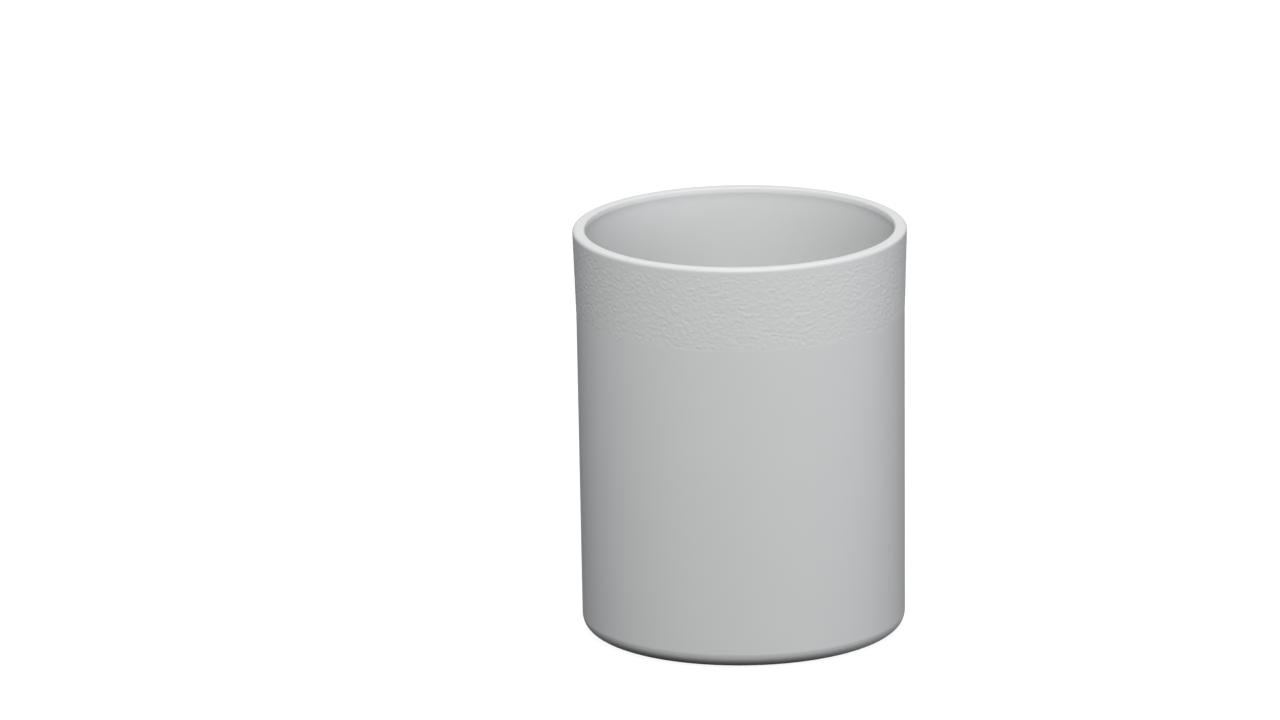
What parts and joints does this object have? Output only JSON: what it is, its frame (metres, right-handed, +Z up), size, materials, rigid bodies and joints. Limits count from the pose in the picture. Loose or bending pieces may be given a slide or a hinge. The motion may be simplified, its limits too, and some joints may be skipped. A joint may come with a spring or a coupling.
{
  "type": "pen holder",
  "caption": "Round open desk cup for pens: thick tapered plastic wall, flat rim, grained band under the rim, rounded foot and a non-slip pad underneath.",
  "frame": {"origin": "centre of the pad's underside, on the desk", "axes": "+Z up along the cup's axis, out of its mouth; +X to the right and -Y towards the viewer"},
  "size_m": [0.0822, 0.0822, 0.102],
  "materials": {
    "grey_plastic": "satin light grey moulding, fine leather-like grain on the band under the rim",
    "pad_rubber": "matt black foam rubber"
  },
  "bodies": {
    "root": {"cup_body": "grey_plastic", "base_pad": "pad_rubber"}
  },
  "joints": []
}
